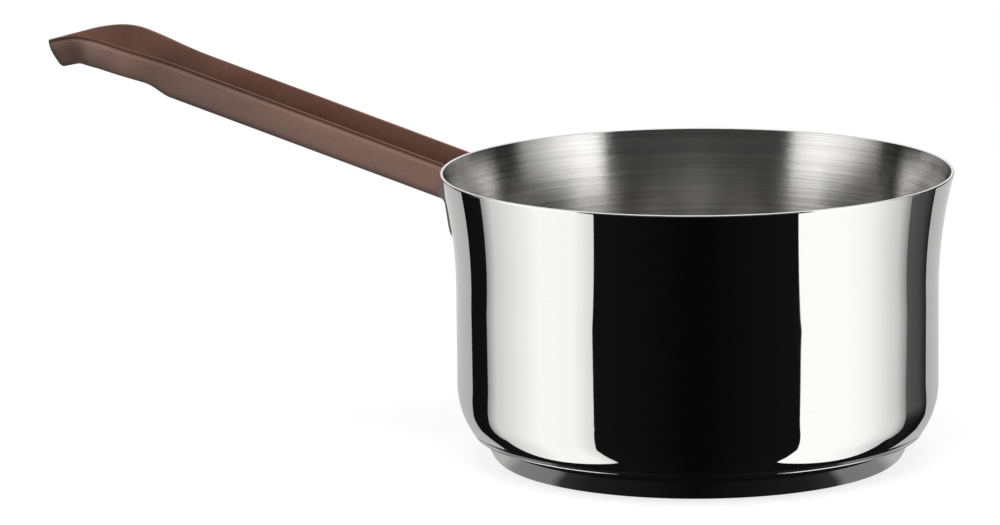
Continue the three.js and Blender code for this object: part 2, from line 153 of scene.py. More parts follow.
# Facets: steps round the axis, along profiles and outlines, and across walls and sheets
ROUND_STEPS = 192
ARC_HOLD = 0.05  # share of a step between the close pair at each end of an arc
ON_AXIS = 1e-7  # a radius below this is one point on the axis
SHARP_ANGLE = math.radians(38)
EASE_STEPS = 3
UNDERSIDE_STEPS = 6
LOWER_STEPS = 40
STRAIGHT_STEPS = 8
FLARE_STEPS = 32
LIP_FRONT_STEPS = 8
LIP_STEPS = 16
LIP_REAR_STEPS = 4
INNER_FLARE_STEPS = 24
INNER_ROUND_STEPS = 16
FILLET_STEPS = 12
FLOOR_STEPS = 14
CAP_FOOT_STEPS = 12
CAP_SIDE_STEPS = 20
CAP_INNER_STEPS = 12
CHANNEL_STEPS = 24
SWELL_STEPS = 24
CLOSE_STEPS = 22
NOSE_STEPS = 18
EDGE_STEPS = 10
FACE_STEPS = 6
FOOT_STEPS = 8
CHANNEL_FLOOR_STEPS = 20
CHANNEL_ACROSS_STEPS = 17  # odd, so that no row runs through the rivet holes' middles
CHANNEL_BEND_STEPS = 8
PLATE_ROWS = 26
PLATE_COLUMNS = 60
EAR_STEPS = 10
NECK_STEPS = 4
TONGUE_BEND_STEPS = 12
TONGUE_STEPS = 12
TONGUE_END_STEPS = 16
RIVET_STEPS = 40
RIVET_EDGE_STEPS = 5
RIVET_DOME_STEPS = 12


# Curves and sampling

def spread(start, end, steps):
    return [start + (end - start) * i / steps for i in range(steps + 1)]


def smoothstep(value, low, high):
    t = min(max((value - low) / (high - low), 0), 1)
    return t * t * (3 - 2 * t)


def lerp(a, b, t):
    return a + (b - a) * t


def arc(centre, radii, start, end, steps):
    """Points of an ellipse's arc, both ends included, with a close pair at each end that
    holds its direction there under smooth shading."""
    hold = (end - start) * ARC_HOLD / steps
    angles = spread(start, end, steps)
    angles = [start, start + hold] + angles[1:-1] + [end - hold, end]
    return [
        (centre[0] + radii[0] * math.cos(a), centre[1] + radii[1] * math.sin(a)) for a in angles
    ]


def circle_arc(centre, radius, start, end, steps):
    return arc(centre, (radius, radius), start, end, steps)


def bezier(p0, p1, p2, p3, steps):
    """Points of a cubic curve, without its first point."""
    points = []
    for t in spread(0, 1, steps)[1:]:
        weights = ((1 - t) ** 3, 3 * t * (1 - t) ** 2, 3 * t * t * (1 - t), t ** 3)
        points.append(tuple(
            sum(w * p[axis] for w, p in zip(weights, (p0, p1, p2, p3))) for axis in (0, 1)
        ))
    return points


# Meshes

def make_object(name, points, faces, materials=(), face_materials=None):
    mesh = bpy.data.meshes.new(name)
    mesh.from_pydata(points, [], faces)
    mesh.validate()
    for material in materials:
        mesh.materials.append(material)
    if face_materials:
        mesh.polygons.foreach_set("material_index", face_materials)
    obj = bpy.data.objects.new(name, mesh)
    bpy.context.scene.collection.objects.link(obj)
    return obj


def smooth(obj):
    obj.data.shade_smooth()
    obj.data.set_sharp_from_angle(angle=SHARP_ANGLE)
    return obj


def revolve(profile, steps=ROUND_STEPS):
    """Points and faces of a profile of (radius, height) turned round the Z axis, with the
    profile's step that each face comes from. It is closed if both its ends are on the axis."""
    points = []
    rings = []
    for radius, height in profile:
        count = 1 if radius < ON_AXIS else steps
        rings.append([len(points) + i for i in range(count)])
        for i in range(count):
            turn = 2 * math.pi * i / steps
            points.append((radius * math.cos(turn), radius * math.sin(turn), height))
    faces = []
    sources = []
    for index, (low, high) in enumerate(zip(rings, rings[1:])):
        for i in range(steps):
            j = (i + 1) % steps
            below = (low[i % len(low)], low[j % len(low)])
            above = (high[j % len(high)], high[i % len(high)])
            faces.append(tuple(dict.fromkeys(below + above)))
            sources.append(index)
    return points, faces, sources


def loft(rings):
    """Points and faces of a closed skin over rings of points, with both ends capped."""
    size = len(rings[0])
    points = [point for ring in rings for point in ring]
    faces = [tuple(reversed(range(size)))]
    for start in range(0, len(points) - size, size):
        for i in range(size):
            j = (i + 1) % size
            faces.append((start + i, start + j, start + size + j, start + size + i))
    faces.append(tuple(range(len(points) - size, len(points))))
    return points, faces


def combine(piece, other, operation):
    """Join another closed mesh to the piece or cut it away, and drop that mesh."""
    modifier = piece.modifiers.new("combine", "BOOLEAN")
    modifier.operation = operation
    modifier.solver = "EXACT"
    modifier.object = other
    graph = bpy.context.evaluated_depsgraph_get()
    result = bpy.data.meshes.new_from_object(piece.evaluated_get(graph))
    piece.modifiers.clear()
    piece.data = result
    bpy.data.objects.remove(other)


def dress(piece, slot, *nodes):
    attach(piece, BODY)
    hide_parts(*nodes)


# Materials

WHITE = (1, 1, 1, 1)
BLACK = (0, 0, 0, 1)


class Nodes:
    """Short calls for building the node tree of a new material, or of a new world."""

    def __init__(self, name, kind="materials"):
        self.owner = getattr(bpy.data, kind).new(name)
        self.owner.use_nodes = True
        self.tree = self.owner.node_tree

    def own(self, name):
        """A node that the tree starts with."""
        return self.tree.nodes[name]

    def paint(self, **inputs):
        """Set the material's own shader, and hand over the material."""
        self.set(self.own("Principled BSDF"), **inputs)
        return self.owner

    def glow(self, level):
        return self.add("ShaderNodeEmission", WHITE, level).outputs[0]

    def show(self, shader):
        """Show another shader instead, and hand over the material."""
        self.put(self.own("Material Output").inputs["Surface"], shader)
        return self.owner

    def add(self, kind, *inputs, **settings):
        node = self.tree.nodes.new(kind)
        for key, value in settings.items():
            setattr(node, key, value)
        for socket, value in zip(node.inputs, inputs):
            self.put(socket, value)
        return node

    def put(self, socket, value):
        if isinstance(value, bpy.types.NodeSocket):
            self.tree.links.new(value, socket)
        elif value is not None:
            socket.default_value = value

    def set(self, node, **inputs):
        for key, value in inputs.items():
            self.put(node.inputs[key.replace("_", " ")], value)
        return node

    def math(self, operation, *inputs):
        return self.add("ShaderNodeMath", *inputs, operation=operation).outputs[0]

    def ramp(self, value, low, high, to_low, to_high, kind="LINEAR"):
        return self.add(
            "ShaderNodeMapRange", value, low, high, to_low, to_high, interpolation_type=kind,
        ).outputs[0]

    def noise(self, vector, scale=1, detail=2, roughness=0.5):
        node = self.add("ShaderNodeTexNoise", vector)
        self.set(node, Scale=scale, Detail=detail, Roughness=roughness)
        return node.outputs[0]

    def mix(self, factor, a, b):
        node = self.add("ShaderNodeMix", data_type="RGBA")
        self.put(node.inputs[0], factor)
        self.put(node.inputs[6], a)
        self.put(node.inputs[7], b)
        return node.outputs[2]

    def bump(self, height, distance):
        node = self.add("ShaderNodeBump")
        self.set(node, Distance=distance, Height=height)
        return node.outputs[0]

    def stops(self, value, stops):
        """Levels at given positions of a value from 0 to 1, with straight slopes between."""
        node = self.add("ShaderNodeValToRGB", value)
        elements = node.color_ramp.elements
        for place, level in stops[1:-1]:
            elements.new(place).color = (level, level, level, 1)
        for element, (place, level) in ((elements[0], stops[0]), (elements[-1], stops[-1])):
            element.position = place
            element.color = (level, level, level, 1)
        return node.outputs[0]

    def place(self):
        return self.add("ShaderNodeTexCoord").outputs["Object"]

    def blend(self, fine, broad):
        """Two noises weighed into one."""
        parts = [self.math("MULTIPLY", *part) for part in zip((fine, broad), NOISE_WEIGHTS)]
        return self.math("ADD", *parts)

    def radius(self, x, y):
        squares = [self.math("MULTIPLY", side, side) for side in (x, y)]
        return self.math("SQRT", self.math("ADD", *squares))

    def split(self):
        """The place's x, y and z."""
        return self.add("ShaderNodeSeparateXYZ", self.place()).outputs

    def stretched(self, *scale):
        return self.add("ShaderNodeMapping", self.place(), (0, 0, 0), (0, 0, 0), scale).outputs[0]

    def turned(self, around, across):
        """Coordinates for marks that run round the Z axis: long round it, fine along the
        profile, where radius plus height grows steadily from the middle to the rim."""
        x, y, z = self.split()
        along = self.math("ADD", self.radius(x, y), z)
        return self.add(
            "ShaderNodeCombineXYZ",
            self.math("MULTIPLY", x, around),
            self.math("MULTIPLY", y, around),
            self.math("MULTIPLY", along, across),
        ).outputs[0]


# A span is where most of a noise's values lie; lines are (scale round the pan, scale along its
# profile); relief is the height of a bump
NOISE_SPAN = (0.3, 0.7)
NOISE_WEIGHTS = (0.65, 0.35)  # of a fine and a broad noise
STEEL = (0.935, 0.932, 0.927, 1)
STEEL_SHADE = (0.922, 0.919, 0.914, 1)
MIRROR_LINES = (45, 2600)
MIRROR_LINE_SPAN = (0.35, 0.65)
MIRROR_CLOUDS = 35
MIRROR_CLOUD_SPAN = (0.1, 0.5)
MIRROR_ROUGHNESS = (0.015, 0.045)
MIRROR_RELIEF = 0.000004
LIP_WEAR = 260
LIP_METALLIC = 0.15
LIP_ROUGHNESS = (0.15, 0.25)
SATIN = (0.85, 0.845, 0.835, 1)
SATIN_SHADE = (0.65, 0.645, 0.635, 1)
SATIN_FINE_LINES = (24, 3400)
SATIN_BROAD_LINES = (12, 1000)
SATIN_SPAN = (0.41, 0.59)
SATIN_ROUGHNESS = (0.155, 0.195)
SATIN_RELIEF = 0.000018
QUARTER_TURN = 0.25
# The bare steel's dark grey is partly the steel's own and partly painted shade, so that the
# bracket's ears read as the shade by the channel's root.
BARE_STEEL = (0.24, 0.235, 0.23, 1)
BARE_STEEL_SHADE = (0.17, 0.165, 0.16, 1)
BARE_SCUFFS = (300, 1500, 700)
BARE_ROUGHNESS = (0.27, 0.36)
BARE_RELIEF = 0.0000015
DISC = (0.78, 0.79, 0.80, 1)
DISC_SHADE = (0.68, 0.69, 0.70, 1)
DISC_LINES = (40, 2000)
DISC_ROUGHNESS = (0.3, 0.45)
DISC_RELIEF = 0.00001


def mirror_steel():
    """Mirror polish: faint polishing lines and the slow waviness of drawn sheet."""
    nodes = Nodes("mirror_steel")
    lines = nodes.noise(nodes.turned(*MIRROR_LINES), detail=3)
    clouds = nodes.noise(nodes.place(), scale=MIRROR_CLOUDS, detail=3)
    haze = nodes.math("MULTIPLY", lines, clouds)
    return nodes.paint(
        Base_Color=nodes.mix(nodes.ramp(lines, *MIRROR_LINE_SPAN, 0, 1), STEEL, STEEL_SHADE),
        Metallic=1,
        Roughness=nodes.ramp(haze, *MIRROR_CLOUD_SPAN, *MIRROR_ROUGHNESS),
        Normal=nodes.bump(clouds, MIRROR_RELIEF),
    )


def lip_steel():
    """The rim's edge, polished but worn a little duller than a mirror."""
    nodes = Nodes("lip_steel")
    wear = nodes.noise(nodes.place(), scale=LIP_WEAR, detail=3)
    return nodes.paint(
        Base_Color=nodes.mix(wear, STEEL, STEEL_SHADE),
        Metallic=LIP_METALLIC,
        Roughness=nodes.ramp(wear, *NOISE_SPAN, *LIP_ROUGHNESS),
    )


def satin_steel():
    """Brushed round the pan: light spreads across the brush lines and stays sharp along them."""
    nodes = Nodes("satin_steel")
    fine = nodes.noise(nodes.turned(*SATIN_FINE_LINES), detail=4, roughness=0.65)
    broad = nodes.noise(nodes.turned(*SATIN_BROAD_LINES), detail=2)
    lines = nodes.blend(fine, broad)
    return nodes.paint(
        Base_Color=nodes.mix(nodes.ramp(lines, *SATIN_SPAN, 0, 1), SATIN_SHADE, SATIN),
        Metallic=1,
        Roughness=nodes.ramp(lines, *NOISE_SPAN, *SATIN_ROUGHNESS),
        Anisotropic=1,
        Anisotropic_Rotation=QUARTER_TURN,
        Tangent=nodes.add("ShaderNodeTangent", direction_type="RADIAL", axis="Z").outputs[0],
        Normal=nodes.bump(fine, SATIN_RELIEF),
    )


BROWN = (0.298, 0.170, 0.133, 1)
BROWN_SHADE = (0.228, 0.130, 0.100, 1)
BROWN_PAINTED_HIGHLIGHT = (0.350, 0.210, 0.170, 1)  # painted highlight: a lighter line below the walls' edge
BROWN_PAINTED_HIGHLIGHT_MOTTLE = (0.290, 0.170, 0.135, 1)
BROWN_SHADED_INSIDE = (0.270, 0.131, 0.094, 1)  # painted shade: darker and redder on the channel's inner faces and the walls' flat top edge
BROWN_SHADED_INSIDE_MOTTLE = (0.214, 0.102, 0.072, 1)
BROWN_PAINTED_EDGE_SHADE = (0.105, 0.058, 0.044, 1)  # painted shade: a dark line along the walls' top edge
BROWN_PAINTED_EDGE_SHADE_MOTTLE = (0.084, 0.046, 0.035, 1)
COAT_GRAIN = 1900
COAT_CLOUDS = (25, 90, 160)
COAT_SPAN = (0.39, 0.61)
COAT_METALLIC = 0.1
COAT_ROUGHNESS = (0.44, 0.54)
COAT_RELIEF = 0.00002
# Painted shade on the coat: its levels along the handle, as (share of its length, level)
SHADE_ALONG_OUTSIDE = ((0, 1), (0.3, 1), (0.53, 0.72), (0.68, 0.7), (0.75, 1), (1, 1))
SHADE_ALONG_INSIDE = ((0, 1), (0.6, 1), (0.66, 0.76), (0.71, 0.76), (0.77, 1), (1, 1))
# Painted shade by place: lengths are along the top edge, heights are above it
FOOT_SHADE_HEIGHTS = (-0.0105, -0.0065)  # heights between which the walls' foot darkens
FOOT_SHADE_LEVELS = (0.84, 1)
NOSE_SHADE_FADE = (0.109, 0.117)  # lengths between which the nose's own levels begin
NOSE_SHADE_HEIGHTS = (-0.005, -0.0005)  # heights between which the nose darkens
NOSE_SHADE_LEVELS = (0.66, 1)
INSIDE_SHADE_HEIGHTS = (-0.0065, -0.0005)  # heights between which the channel's inside darkens
INSIDE_SHADE_LEVELS = (0.53, 1)
LOOP_SHADE_FADE = (0.108, 0.118)  # lengths between which that gives way to one level in the loop
LOOP_SHADE_LEVEL = 0.78


def painted_coat_shade(nodes, inside):
    """Painted shade on the coat: darker along part of the handle, towards the walls' foot, round
    the nose and deeper inside the channel.
    """
    x, _, z = nodes.split()
    out = nodes.math("SUBTRACT", -HANDLE_ROOT[0], x)
    up = nodes.math("SUBTRACT", z, HANDLE_ROOT[1])
    rise, run = math.sin(HANDLE_RISE), math.cos(HANDLE_RISE)
    s = nodes.math("ADD", nodes.math("MULTIPLY", out, run), nodes.math("MULTIPLY", up, rise))
    h = nodes.math("SUBTRACT", nodes.math("MULTIPLY", up, run), nodes.math("MULTIPLY", out, rise))
    past = nodes.math("MAXIMUM", nodes.math("SUBTRACT", s, DROOP_START), 0)
    droop = nodes.math("DIVIDE", nodes.math("MULTIPLY", past, past), 2 * DROOP_RADIUS)
    h = nodes.math("ADD", h, droop)
    share = nodes.math("DIVIDE", s, HANDLE_LENGTH)
    if inside:
        deep_shade = nodes.ramp(h, *INSIDE_SHADE_HEIGHTS, *INSIDE_SHADE_LEVELS)
        depth = nodes.ramp(s, *LOOP_SHADE_FADE, deep_shade, LOOP_SHADE_LEVEL)
        return nodes.math("MULTIPLY", nodes.stops(share, SHADE_ALONG_INSIDE), depth)
    foot = nodes.ramp(h, *FOOT_SHADE_HEIGHTS, *FOOT_SHADE_LEVELS)
    nose = nodes.ramp(s, *NOSE_SHADE_FADE, 1, nodes.ramp(h, *NOSE_SHADE_HEIGHTS, *NOSE_SHADE_LEVELS))
    depth = nodes.math("MULTIPLY", foot, nose)
    return nodes.math("MULTIPLY", nodes.stops(share, SHADE_ALONG_OUTSIDE), depth)


def brown_coat(name, colour, shade, gloss, inside=False):
    """Satin brown coat on blasted sheet: fine mottle, and painted shade that depends on the place
    on the handle.
    """
    nodes = Nodes(name)
    grain = nodes.noise(nodes.place(), scale=COAT_GRAIN, detail=3, roughness=0.6)
    tone = nodes.blend(grain, nodes.noise(nodes.stretched(*COAT_CLOUDS)))
    mottle = nodes.mix(nodes.ramp(tone, *COAT_SPAN, 0, 1), shade, colour)
    # The painted shade darkens the mottle towards black.
    return nodes.paint(
        Base_Color=nodes.mix(painted_coat_shade(nodes, inside), BLACK, mottle),
        Metallic=COAT_METALLIC,
        Roughness=nodes.ramp(grain, *NOISE_SPAN, *COAT_ROUGHNESS),
        Specular_IOR_Level=gloss,
        Normal=nodes.bump(grain, COAT_RELIEF),
    )


def bare_steel():
    """Plain formed steel of the bracket and rivets, lightly scuffed."""
    nodes = Nodes("bare_steel")
    scuffs = nodes.noise(nodes.stretched(*BARE_SCUFFS), detail=3)
    return nodes.paint(
        Base_Color=nodes.mix(scuffs, BARE_STEEL_SHADE, BARE_STEEL),
        Metallic=1,
        Roughness=nodes.ramp(scuffs, *NOISE_SPAN, *BARE_ROUGHNESS),
        Normal=nodes.bump(scuffs, BARE_RELIEF),
    )


def aluminium():
    """The heat-spreading disc, turned on its faces."""
    nodes = Nodes("aluminium")
    lines = nodes.noise(nodes.turned(*DISC_LINES), detail=2)
    return nodes.paint(
        Base_Color=nodes.mix(lines, DISC_SHADE, DISC),
        Metallic=1,
        Roughness=nodes.ramp(lines, *NOISE_SPAN, *DISC_ROUGHNESS),
        Normal=nodes.bump(lines, DISC_RELIEF),
    )


# Vessel and base

FLARE_START = RIM_HEIGHT - FLARE_HEIGHT
FLARE_RISE = FLARE_HEIGHT - WALL / 2
FLARE_RADIUS = (FLARE_RISE ** 2 + FLARE_OUT ** 2) / (2 * FLARE_OUT)
BODY_RADIUS = RIM_RADIUS - FLARE_OUT
FLARE_CENTRE = BODY_RADIUS - WALL / 2 + FLARE_RADIUS
FLARE_TURN = math.asin(FLARE_RISE / FLARE_RADIUS)
UNDERSIDE_RADIUS = BODY_RADIUS - LOWER_ROUND * (1 - math.cos(LOWER_TURN))


def wall_radius(z):
    """Outside radius of the vessel at height z, above its lower round."""
    if z <= FLARE_START:
        return BODY_RADIUS
    rise = min(z - FLARE_START, FLARE_RISE)
    return FLARE_CENTRE - math.sqrt((FLARE_RADIUS - WALL / 2) ** 2 - rise ** 2)


def build_vessel():
    land_top = BASE_HEIGHT + EDGE_LAND
    round_centre = (BODY_RADIUS - LOWER_ROUND, land_top + LOWER_ROUND * math.sin(LOWER_TURN))
    inner_round = LOWER_ROUND - WALL
    floor_top = BASE_HEIGHT + WALL
    fillet_rise = round_centre[1] - floor_top - FLOOR_FILLET
    fillet_out = math.sqrt((inner_round - FLOOR_FILLET) ** 2 - fillet_rise ** 2)
    fillet_end = math.atan2(-fillet_rise, fillet_out)
    fillet_centre = (round_centre[0] + fillet_out, floor_top + FLOOR_FILLET)
    flare_centre = (FLARE_CENTRE, FLARE_START)
    outer_flare = FLARE_RADIUS - WALL / 2
    inner_flare = FLARE_RADIUS + WALL / 2
    lip = (RIM_RADIUS - WALL / 2, RIM_HEIGHT - WALL / 2)
    land_centre = UNDERSIDE_RADIUS - LAND_EASE
    land = (land_centre, BASE_HEIGHT + LAND_EASE)
    flare_end = math.pi - FLARE_TURN
    straight = spread(round_centre[1], FLARE_START, STRAIGHT_STEPS)[1:-1]
    inner_radius = BODY_RADIUS - WALL

    outside = [(r, BASE_HEIGHT) for r in spread(0, land_centre, UNDERSIDE_STEPS)[:-1]]
    outside += circle_arc(land, LAND_EASE, -math.pi / 2, 0, EASE_STEPS)
    outside += circle_arc(round_centre, LOWER_ROUND, -LOWER_TURN, 0, LOWER_STEPS)
    outside += [(BODY_RADIUS, z) for z in straight]
    outside += circle_arc(flare_centre, outer_flare, math.pi, flare_end, FLARE_STEPS)
    outside += circle_arc(lip, WALL / 2, -FLARE_TURN, LIP_FRONT, LIP_FRONT_STEPS)[1:]
    edge = circle_arc(lip, WALL / 2, LIP_FRONT, LIP_REAR, LIP_STEPS)[1:]
    inside = circle_arc(lip, WALL / 2, LIP_REAR, flare_end, LIP_REAR_STEPS)[1:]
    inside += circle_arc(flare_centre, inner_flare, flare_end, math.pi, INNER_FLARE_STEPS)[1:]
    inside += [(inner_radius, z) for z in reversed(straight)]
    inside += circle_arc(round_centre, inner_round, 0, fillet_end, INNER_ROUND_STEPS)
    inside += circle_arc(fillet_centre, FLOOR_FILLET, fillet_end, -math.pi / 2, FILLET_STEPS)[1:]
    inside += [(r, floor_top) for r in spread(fillet_centre[0], 0, FLOOR_STEPS)[1:]]

    points, faces, sources = revolve(outside + edge + inside)
    edge_start = len(outside) - 1
    inside_start = edge_start + len(edge)
    slots = [(s >= edge_start) + (s >= inside_start) for s in sources]
    vessel = make_object("vessel_skin", points, faces, (mirror, lip_metal, satin), slots)
    dress(smooth(vessel), "polished_steel", "vessel")


def build_base_cap():
    foot = CAP_RADIUS - CAP_SHOULDER
    inner = foot - CAP_WALL
    outer_radii = (CAP_SHOULDER, BASE_HEIGHT)
    inner_radii = (CAP_SHOULDER, BASE_HEIGHT - CAP_WALL)
    lean = math.tan(CAP_LEAN)
    lean_turn = math.atan(lean * BASE_HEIGHT / CAP_SHOULDER)
    profile = [(r, 0) for r in spread(0, foot - FOOT_EASE, CAP_FOOT_STEPS)]
    profile += arc((foot, BASE_HEIGHT), outer_radii, FOOT_TURN, -lean_turn, CAP_SIDE_STEPS)
    lean_radius, lean_height = profile[-1]
    profile += [(lean_radius + (BASE_HEIGHT - lean_height) * lean, BASE_HEIGHT)]
    profile += arc((inner, BASE_HEIGHT), inner_radii, 0, -math.pi / 2, CAP_INNER_STEPS)
    profile += [(0, CAP_WALL)]
    points, faces, _ = revolve(profile)
    cap = make_object("base_cap_skin", points, faces, (mirror,))
    dress(smooth(cap), "polished_steel", "base_cap")


# Handle

EDGE_SHADE_TONE, SHADED_INSIDE_TONE, HIGHLIGHT_TONE = 1, 2, 3  # places of the coat's painted shade and highlight tones in the handle's list
EDGE_PAINTED_LIGHT_TONES = (SHADED_INSIDE_TONE,) * 3 + (EDGE_SHADE_TONE,) * 3 + (0, HIGHLIGHT_TONE)  # painted shade and a painted highlight in rows across the walls' edge, inside first


def handle_point(s, h):
    """Point h above the top edge at length s, as (out, up): straight, an arc down, straight."""
    turn = min(max((s - DROOP_START) / DROOP_RADIUS, 0), DROOP_TURN)
    slope = HANDLE_RISE - turn
    straight = min(s, DROOP_START)
    rest = max(0, s - DROOP_START - DROOP_RADIUS * DROOP_TURN)
    arc_out = DROOP_RADIUS * (math.sin(HANDLE_RISE) - math.sin(slope))
    arc_up = DROOP_RADIUS * (math.cos(slope) - math.cos(HANDLE_RISE))
    out = straight * math.cos(HANDLE_RISE) + arc_out + rest * math.cos(slope) - h * math.sin(slope)
    up = straight * math.sin(HANDLE_RISE) + arc_up + rest * math.sin(slope) + h * math.cos(slope)
    return HANDLE_ROOT[0] + out, HANDLE_ROOT[1] + up


def loop_share(s):
    """0 along the channel, 1 along the open loop, and the step between them."""
    start = CHANNEL_LENGTH + STEP_DELAY
    return smoothstep(s, start, start + STEP_LENGTH)


def wall_depth(s):
    if s <= CHANNEL_LENGTH:
        return lerp(ROOT_DEPTH, GRIP_DEPTH, s / CHANNEL_LENGTH)
    loop = lerp(LOOP_DEPTH, TIP_DEPTH, (s - CHANNEL_LENGTH) / (HANDLE_LENGTH - CHANNEL_LENGTH))
    return lerp(GRIP_DEPTH, loop, loop_share(s))


def handle_outline():
    """Half of the handle's outline seen from above, root to tip, as (s, v)."""
    widest = CHANNEL_LENGTH + LOOP_SWELL
    nose_start = widest + LOOP_CLOSE
    nose_reach = CURVE_EASE * NOSE_LENGTH
    close_reach = CURVE_EASE * LOOP_CLOSE
    points = [(s, CHANNEL_HALF_WIDTH) for s in spread(-ROOT_TUCK, CHANNEL_LENGTH, CHANNEL_STEPS)]
    points += bezier(
        (CHANNEL_LENGTH, CHANNEL_HALF_WIDTH),
        (CHANNEL_LENGTH + CURVE_EASE * LOOP_SWELL, CHANNEL_HALF_WIDTH),
        (widest - CURVE_EASE * LOOP_SWELL, LOOP_HALF_WIDTH),
        (widest, LOOP_HALF_WIDTH),
        SWELL_STEPS,
    )
    points += bezier(
        (widest, LOOP_HALF_WIDTH),
        (widest + close_reach, LOOP_HALF_WIDTH),
        (nose_start - close_reach, NOSE_HALF_WIDTH + close_reach * math.tan(NOSE_ANGLE)),
        (nose_start, NOSE_HALF_WIDTH),
        CLOSE_STEPS,
    )
    points += bezier(
        (nose_start, NOSE_HALF_WIDTH),
        (nose_start + nose_reach, NOSE_HALF_WIDTH - nose_reach * math.tan(NOSE_ANGLE)),
        (HANDLE_LENGTH, CURVE_EASE * NOSE_HALF_WIDTH),
        (HANDLE_LENGTH, 0),
        NOSE_STEPS,
    )
    return points


def wall_section(s):
    """Section of the wall at length s, as (in from the outer face, up from the top edge)."""
    depth = wall_depth(s)
    nose = smoothstep(s, DROOP_START + NOSE_LENGTH, HANDLE_LENGTH - NOSE_LENGTH)
    foot = lerp(lerp(SHEET - FLOOR_OVERLAP, LOOP_FOOT, loop_share(s)), TIP_FOOT, nose)
    rise = lerp(lerp(FOOT_RISE, LOOP_FOOT_RISE, loop_share(s)), TIP_FOOT_RISE, nose)
    ease = lerp(FLOOR_SEAM / 2, EDGE_EASE, loop_share(s))
    quarter = math.pi / 2
    edge_radii = (EDGE_ROUND, EDGE_FALL)
    section = circle_arc((SHEET - EDGE_EASE, -EDGE_EASE), EDGE_EASE, 0, quarter, EASE_STEPS)
    section += arc((EDGE_ROUND, -EDGE_FALL), edge_radii, quarter, math.pi, EDGE_STEPS)
    section += [(0, h) for h in spread(-EDGE_FALL, rise - depth, FACE_STEPS)[1:-1]]
    section += arc((foot, rise - depth), (foot, rise), math.pi, 3 * quarter, FOOT_STEPS)
    section += circle_arc((SHEET - ease, ease - depth), ease, -quarter, 0, EASE_STEPS)
    return [(inset + crown_fall(h, depth) * (1 - inset / SHEET), h) for inset, h in section]


def crown_fall(h, depth):
    """How far the wall's slightly crowned outer face falls back at height h."""
    return WALL_CROWN * (1 + 2 * h / depth) ** 2


def root_length(v, h):
    """Length s of the wall's end at (v, h): square, but cut back to clear the flare."""
    s = -ROOT_TUCK
    for _ in range(ROOT_TRIES):
        radius = wall_radius(handle_point(s, h)[1]) + ROOT_CLEARANCE
        out = math.sqrt(radius ** 2 - v ** 2) - HANDLE_ROOT[0]
        s = max(-ROOT_TUCK, (out + h * math.sin(HANDLE_RISE)) / math.cos(HANDLE_RISE))
    return s


def wall_band():
    """Both walls as one band, from one root round the tip to the other."""
    half = handle_outline()
    outline = half + [(s, -v) for s, v in reversed(half[:-1])]
    rings = []
    for i, (s, v) in enumerate(outline):
        before = outline[max(i - 1, 0)]
        after = outline[min(i + 1, len(outline) - 1)]
        along = Vector((after[0] - before[0], after[1] - before[1])).normalized()
        drawn_back = TIP_RAKE * smoothstep(s, DROOP_START, HANDLE_LENGTH)
        ring = []
        for inset, h in wall_section(s):
            place_s = s + inset * along.y + drawn_back * h / wall_depth(s)
            place_v = v - inset * along.x
            if i in (0, len(outline) - 1):
                place_s = root_length(place_v, h)
            out, up = handle_point(place_s, h)
            ring.append((-out, place_v, up))
        rings.append(ring)
    points, faces = loft(rings)
    size = len(rings[0])
    tones = [wall_tone((f - 1) % size, size) for f in range(len(faces))]
    tones[0] = tones[-1] = 0
    return make_object("handle_sheet", points, faces, coats, tones)


def wall_tone(row, size):
    """The coat's tone on a row of the walls' faces, counted along their section: painted shade and
    a painted highlight along the edge and inside.
    """
    flat = EASE_STEPS + 2  # the flat top edge, after the inner edge's arc and its close pairs
    if row == size - 1:  # the inner face, which closes the section, in painted shade
        return SHADED_INSIDE_TONE
    if 0 <= row - flat < len(EDGE_PAINTED_LIGHT_TONES):
        return EDGE_PAINTED_LIGHT_TONES[row - flat]
    return 0


FLOOR_START_POINT = handle_point(0, -ROOT_DEPTH)
FLOOR_END_POINT = handle_point(CHANNEL_LENGTH, -GRIP_DEPTH)
FLOOR_RISE = math.atan2(
    FLOOR_END_POINT[1] - FLOOR_START_POINT[1], FLOOR_END_POINT[0] - FLOOR_START_POINT[0],
)
FLOOR_FRAME = Matrix((
    (-math.cos(FLOOR_RISE), 0, math.sin(FLOOR_RISE), -FLOOR_START_POINT[0]),
    (0, -1, 0, 0),
    (math.sin(FLOOR_RISE), 0, math.cos(FLOOR_RISE), FLOOR_START_POINT[1]),
    (0, 0, 0, 1),
))
NECK_RADIUS = wall_radius(FLOOR_START_POINT[1]) + WELD_GAP + BRACKET_SHEET
FLOOR_START = NECK_RADIUS + FLOOR_SETBACK - FLOOR_START_POINT[0]
FLOOR_END = math.dist(FLOOR_START_POINT, FLOOR_END_POINT)
RIVET_PLACES = (FLOOR_START + RIVET_FIRST, FLOOR_START + RIVET_FIRST + RIVET_PITCH)
STACK_HEIGHT = SHEET + TONGUE_CLEARANCE + BRACKET_SHEET


